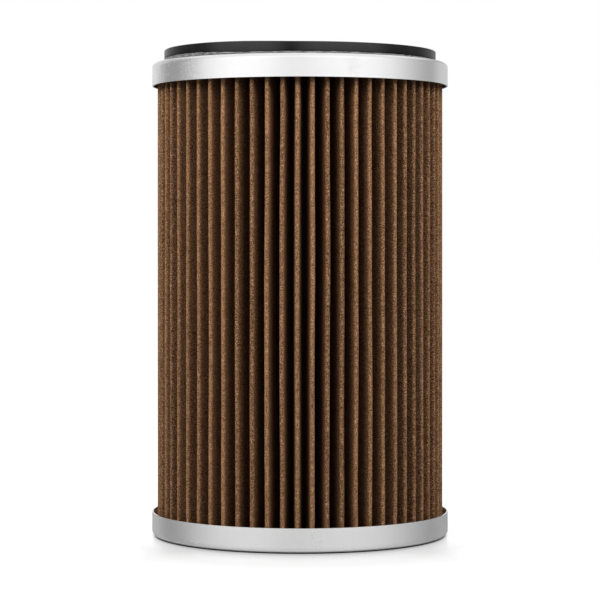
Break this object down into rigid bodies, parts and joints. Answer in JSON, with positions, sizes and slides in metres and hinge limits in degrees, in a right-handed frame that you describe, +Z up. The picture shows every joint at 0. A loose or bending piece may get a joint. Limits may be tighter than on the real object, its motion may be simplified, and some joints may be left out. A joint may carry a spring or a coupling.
{
  "type": "hydraulic filter element",
  "caption": "Round pleated-paper hydraulic filter element with drawn metal end caps, a perforated centre tube and a rubber gasket round its open end.",
  "frame": {"origin": "middle of the flat base that the element stands on", "axes": "+Z up along the element's axis towards the gasket and the open end; -Y is the front, and the seam of the paper is at +Y"},
  "size_m": [0.13, 0.13, 0.212],
  "materials": {
    "gasket_rubber": "black moulded nitrile rubber, matt",
    "cap_metal": "bright tin-plated drawn steel, satin",
    "adhesive": "dark cast adhesive",
    "filter_paper": "brown resin-treated fibrous paper, grainy",
    "clip_metal": "tin-plated strip",
    "tube_metal": "perforated tin-plated sheet, dull"
  },
  "bodies": {
    "root": {"top_gasket": "gasket_rubber", "top_end_cap": "cap_metal", "upper_potting": "adhesive", "pleated_media": "filter_paper", "seam_clip": "clip_metal", "centre_tube": "tube_metal", "lower_potting": "adhesive", "bottom_end_cap": "cap_metal"}
  },
  "joints": []
}
